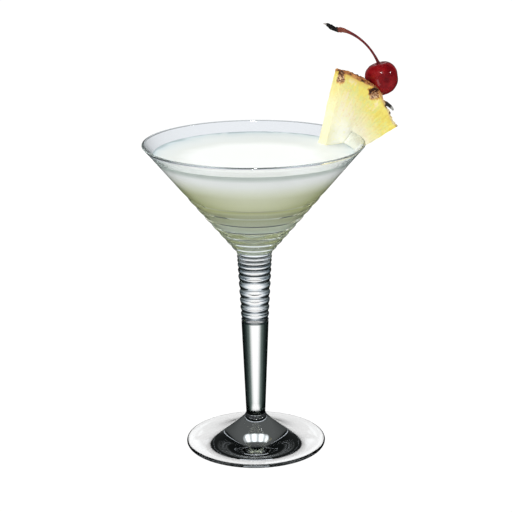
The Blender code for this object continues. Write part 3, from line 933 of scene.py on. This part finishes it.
def pineapple_material():
    """Wet yellow flesh with fibres that run out from the core, brown craggy skin and dry eyes."""
    made, tree, shader = new_finish("pineapple_finish")
    link = tree.links.new
    place = tree.nodes.new("ShaderNodeTexCoord")
    mapping = tree.nodes.new("ShaderNodeMapping")
    mapping.vector_type = "TEXTURE"
    tip = WEDGE_STAND @ Vector((WEDGE_TIP.x, WEDGE_TIP.y, 0.0))
    mapping.inputs["Location"].default_value = tip
    mapping.inputs["Rotation"].default_value = (math.pi / 2, 0.0, WEDGE_AZIMUTH)
    link(place.outputs["Object"], mapping.inputs["Vector"])
    plane = mapping.outputs["Vector"]
    axes = split_axes(tree, plane)
    angle = value_node(tree, "ARCTAN2", axes["Y"], axes["X"])
    rays = tree.nodes.new("ShaderNodeCombineXYZ")
    link(angle, rays.inputs["X"])
    link(value_node(tree, "MULTIPLY", vector_node(tree, "LENGTH", plane), 3.0), rays.inputs["Y"])
    link(axes["Z"], rays.inputs["Z"])

    fibres = noise_node(tree, rays.outputs["Vector"], 26.0, 4.0)
    patches = noise_node(tree, plane, 95.0)
    blotches = noise_node(tree, plane, 260.0)
    speckle = noise_node(tree, plane, 900.0, 3.0, 0.6)
    tone = value_node(tree, "ADD", value_node(tree, "MULTIPLY", fibres, 0.45), patches)
    flesh = ramp_node(tree, tone, [
        (0.54, FLESH_GOLD),
        (0.66, FLESH_YELLOW),
        (0.73, FLESH_GREEN),
        (0.78, FLESH_YELLOW),
        (0.86, FLESH_PALE),
    ])
    # Painted light mixed with the core's own paleness: the flesh turns pale towards the core end
    # at the lower left.
    low = value_node(tree, "MULTIPLY", axes["X"], 0.80)
    low = value_node(tree, "ADD", low, value_node(tree, "MULTIPLY", axes["Y"], 0.60))
    low = value_node(tree, "ADD", low, value_node(tree, "MULTIPLY", patches, 0.020))
    wet = range_node(tree, low, *CORE_LIGHT_FADE)
    wet = value_node(tree, "MULTIPLY", wet, range_node(tree, angle, *LEFT_EDGE_FADE))
    colour = colour_mix(tree, wet, flesh, FLESH_CORE_LIT)
    dry = value_node(tree, "MULTIPLY", range_node(tree, angle, *SIDE_FACE_RISE),
                     value_node(tree, "SUBTRACT", 1.0, wet))
    colour = colour_mix(tree, dry, colour, FLESH_GOLD)
    # Painted light: the pale flesh inside the bowl glows a little, standing in for light thrown
    # back by the drink.
    painted_glow = value_node(tree, "MULTIPLY", wet, range_node(tree, axes["X"], *IN_BOWL_FADE))
    link(colour_mix(tree, painted_glow, grey(0.0), FLESH_PAINTED_GLOW), shader.inputs["Emission Color"])
    shader.inputs["Emission Strength"].default_value = 1.0

    depth = attribute_value(tree, "from_rind")
    ragged = value_node(tree, "ADD", depth, value_node(tree, "MULTIPLY", blotches, -RIND_DEPTH))
    upper = range_node(tree, angle, *UPPER_RISE)
    ripe_depth = range_node(tree, upper, 0.0, 1.0, *RIPE_DEPTHS)
    golden = range_node(tree, value_node(tree, "DIVIDE", ragged, ripe_depth), 1.0, 0.0)
    colour = colour_mix(tree, golden, colour, FLESH_RIPE)

    stained = value_node(tree, "MULTIPLY_ADD", speckle, 0.30, attribute_value(tree, "eye"))
    colour = colour_mix(tree, range_node(tree, stained, *STAIN_RISE), colour, EYE_ORANGE)
    rise = range_node(tree, attribute_value(tree, "eye_rise"), -0.1, 0.5)
    lowered = value_node(tree, "MULTIPLY_ADD", rise, -0.22, speckle)
    crags = ramp_node(tree, lowered, [
        (0.36, EYE_DARK),
        (0.47, RIND_BROWN),
        (0.58, EYE_CREAM),
    ])
    colour = colour_mix(tree, range_node(tree, stained, *CRAG_RISE), colour, crags)

    skin = ramp_node(tree, blotches, [
        (0.42, RIND_DARK),
        (0.52, RIND_BROWN),
        (0.64, RIND_ORANGE),
    ])
    low_skin = ramp_node(tree, blotches, [
        (0.42, RIND_DARK),
        (0.48, RIND_TAN),
        (0.60, RIND_PALE),
    ])
    rind = range_node(tree, ragged, RIND_SKIN, -RIND_SKIN)
    colour = colour_mix(tree, rind, colour, colour_mix(tree, upper, low_skin, skin))
    leaf_length = attribute_value(tree, "bract")
    leaf = ramp_node(tree, leaf_length, [
        (0.15, RIND_BROWN),
        (0.40, BRACT_DARK),
        (0.75, BRACT_DARK),
        (0.90, BRACT_LIGHT),
    ])
    colour = colour_mix(tree, range_node(tree, leaf_length, 0.02, 0.10), colour, leaf)
    link(colour, shader.inputs["Base Color"])

    link(range_node(tree, rind, 0.0, 1.0, 0.30, 0.75), shader.inputs["Roughness"])
    grain = value_node(tree, "MULTIPLY_ADD", speckle, 0.25, fibres)
    link(bump_node(tree, grain, 0.35, 0.0004), shader.inputs["Normal"])
    return made


wedge.data.materials.append(pineapple_material())
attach(wedge, "root")
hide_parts("pineapple_wedge")


# Cherry: a pitted cherry steeped in red syrup, glossy and a little wrinkled, pressed down on the
# outer corner of the wedge so that the corner dents it.
CHERRY_CENTRE = Vector((0.0713, 0.0422, 0.1985))
CHERRY_RADIUS = 0.0091
CHERRY_TILT = math.radians(-13.0)
CHERRY_DIMPLE_DEPTH = 0.0022
CHERRY_DIMPLE_SPREAD = 0.34
CHERRY_SHOULDERS = 0.20
CHERRY_STRETCH = 1.05
CHERRY_BASE_NARROWING = 0.04
CHERRY_WRINKLE = 0.00022
CHERRY_NOTCH_ANGLE = math.radians(45)
CHERRY_PROFILE_STEPS = 56
CHERRY_TURN_STEPS = 112
CHERRY_RED = (0.23, 0.004, 0.007)
CHERRY_DEEP = (0.12, 0.002, 0.006)
CHERRY_BRIGHT = (0.34, 0.014, 0.016)


def cherry_profile():
    """Half section of the cherry from the stem's dimple down to its base."""
    points = []
    for step in range(CHERRY_PROFILE_STEPS + 1):
        turn_down = math.pi * step / CHERRY_PROFILE_STEPS
        height = math.cos(turn_down)
        beside = math.sin(turn_down) if 0 < step < CHERRY_PROFILE_STEPS else 0.0
        shoulders = CHERRY_SHOULDERS * max(0.0, height) * (1.0 - height)
        width = 1.0 + shoulders - CHERRY_BASE_NARROWING * max(0.0, -height) ** 2
        level = height * CHERRY_STRETCH * CHERRY_RADIUS
        if height > 0.0:
            level -= CHERRY_DIMPLE_DEPTH * math.exp(-((beside / CHERRY_DIMPLE_SPREAD) ** 2))
        points.append((beside * width * CHERRY_RADIUS, level))
    return points


cherry = turned_piece("cocktail_cherry", cherry_profile(), CHERRY_TURN_STEPS)
for vertex in cherry.data.vertices:
    direction = vertex.co.normalized()
    swell = noise.noise(direction * 1.7 + Vector((3.0, 0.0, 0.0)))
    wrinkle = noise.noise(Vector((direction.x * 5.0, direction.y * 5.0, direction.z * 2.5)))
    vertex.co += direction * CHERRY_WRINKLE * (1.2 * swell + 0.5 * wrinkle)
cherry.data.transform(Matrix.Rotation(CHERRY_TILT, 4, "Y"))
cherry.data.transform(Matrix.Translation(CHERRY_CENTRE))
apply_boolean(cherry, wedge_cutter)
select_only(cherry)
bpy.ops.object.shade_smooth_by_angle(angle=CHERRY_NOTCH_ANGLE)


def cherry_material():
    """Deep red syrup-soaked skin under a wet gloss."""
    made, tree, shader = new_finish("cherry_finish")
    link = tree.links.new
    place = tree.nodes.new("ShaderNodeTexCoord").outputs["Object"]
    patches = noise_node(tree, place, 170.0)
    pores = noise_node(tree, place, 1500.0, 2.0)
    reds = ramp_node(tree, patches, [
        (0.30, CHERRY_DEEP),
        (0.52, CHERRY_RED),
        (0.75, CHERRY_BRIGHT),
    ])
    link(reds, shader.inputs["Base Color"])
    shader.inputs["Roughness"].default_value = 0.28
    shader.inputs["Specular IOR Level"].default_value = 0.25
    shader.inputs["Coat Weight"].default_value = 1.0
    shader.inputs["Coat Roughness"].default_value = 0.03
    grain = value_node(tree, "ADD", patches, value_node(tree, "MULTIPLY", pores, 0.25))
    link(bump_node(tree, grain, 0.30, 0.0003), shader.inputs["Normal"])
    return made


cherry.data.materials.append(cherry_material())
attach(cherry, "root")
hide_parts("cherry")


# Cherry stem: thin, tough and dyed red by the syrup. It arches to the left and ends in a brown
# knob with a black broken end where it left the branch.
STEM_ROUTE = (
    # x, z, radius, on the upright plane through the cherry's centre
    (0.0697, 0.2061, 0.00115),
    (0.0689, 0.2079, 0.00080),
    (0.0673, 0.2108, 0.00070),
    (0.0646, 0.2147, 0.00065),
    (0.0620, 0.2176, 0.00065),
    (0.0594, 0.2199, 0.00070),
    (0.0568, 0.2218, 0.00075),
    (0.0538, 0.2235, 0.00085),
    (0.0516, 0.2245, 0.00100),
    (0.0492, 0.2252, 0.00130),
    (0.0476, 0.2253, 0.00145),
    (0.0459, 0.2257, 0.00125),
    (0.0438, 0.2266, 0.00130),
    (0.0413, 0.2281, 0.00110),
    (0.0402, 0.2286, 0.00060),
    (0.0389, 0.2288, 0.00025),
)
KNOB_X = 0.0520
CHAR_X = 0.0470
CHAR_FADE = 0.0006
STEM_TAIL_X = 0.0406
STEM_TAIL_FADE = 0.0008
BROWN_RISE = (0.0545, 0.0505)
STEM_RAGGED = 0.003
STEM_BEVEL_STEPS = 6
STEM_CURVE_STEPS = 10
STEM_ROUGHNESS = 0.00045
STEM_KNOT_SIZE = 0.0011
STEM_GROOVE_SIZE = 0.0022
STEM_RED = (0.22, 0.018, 0.022)
STEM_DARK = (0.055, 0.008, 0.010)
KNOB_BROWN = (0.20, 0.045, 0.025)
CHAR_BLACK = (0.004, 0.003, 0.003)
TAIL_PALE = (0.42, 0.38, 0.36)

bpy.ops.object.select_all(action="DESELECT")
bpy.ops.curve.primitive_bezier_curve_add()
stem = bpy.context.object
stem.name = "cherry_stalk"
line = stem.data
line.splines.remove(line.splines[0])
spline = line.splines.new("BEZIER")
spline.bezier_points.add(len(STEM_ROUTE) - 1)
for point, (x, z, radius) in zip(spline.bezier_points, STEM_ROUTE):
    point.co = (x, CHERRY_CENTRE.y, z)
    point.radius = radius
    point.handle_left_type = "AUTO"
    point.handle_right_type = "AUTO"
line.bevel_depth = 1.0
line.bevel_resolution = STEM_BEVEL_STEPS
line.resolution_u = STEM_CURVE_STEPS
line.use_fill_caps = True
select_only(stem)
bpy.ops.object.convert(target="MESH")
bpy.ops.object.mode_set(mode="EDIT")
bpy.ops.mesh.select_all(action="SELECT")
bpy.ops.mesh.remove_doubles(threshold=MERGE)
bpy.ops.mesh.normals_make_consistent(inside=False)
bpy.ops.object.mode_set(mode="OBJECT")
stem.data.name = stem.name
shape = bmesh.new()
shape.from_mesh(stem.data)
shape.normal_update()
for vertex in shape.verts:
    knob = smooth_step(KNOB_X - vertex.co.x, 0.0, 0.003)
    tail = smooth_step(STEM_TAIL_X - vertex.co.x, 0.0, 0.0006)
    rough = noise.fractal(vertex.co / STEM_KNOT_SIZE, 0.8, 2.0, 3)
    grooves = noise.noise(vertex.co / STEM_GROOVE_SIZE)
    vertex.co += vertex.normal * STEM_ROUGHNESS * (
        knob * (1.0 - 0.8 * tail) * rough + 0.15 * (1.0 - knob) * grooves)
shape.to_mesh(stem.data)
shape.free()
select_only(stem)
bpy.ops.object.shade_smooth()


def stem_material():
    """Dark red stem, browner at the knob and black at its broken end."""
    made, tree, shader = new_finish("cherry_stem_finish")
    link = tree.links.new
    place = tree.nodes.new("ShaderNodeTexCoord").outputs["Object"]
    flecks = noise_node(tree, place, 700.0)
    streaks = ramp_node(tree, flecks, [
        (0.35, STEM_DARK),
        (0.62, STEM_RED),
    ])
    ragged = value_node(tree, "MULTIPLY_ADD", flecks, STEM_RAGGED, -STEM_RAGGED / 2)
    along = value_node(tree, "ADD", split_axes(tree, place)["X"], ragged)
    colour = colour_mix(tree, range_node(tree, along, *BROWN_RISE), streaks, KNOB_BROWN)
    charred = range_node(tree, along, CHAR_X + CHAR_FADE, CHAR_X - CHAR_FADE)
    colour = colour_mix(tree, charred, colour, CHAR_BLACK)
    tail = range_node(tree, along, STEM_TAIL_X, STEM_TAIL_X - STEM_TAIL_FADE)
    link(colour_mix(tree, tail, colour, TAIL_PALE), shader.inputs["Base Color"])
    link(range_node(tree, along, CHAR_X, CHAR_X + 0.006, 0.75, 0.35), shader.inputs["Roughness"])
    link(bump_node(tree, flecks, 0.5, 0.0003), shader.inputs["Normal"])
    return made


stem.data.materials.append(stem_material())
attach(stem, "root")
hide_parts("cherry_stem")
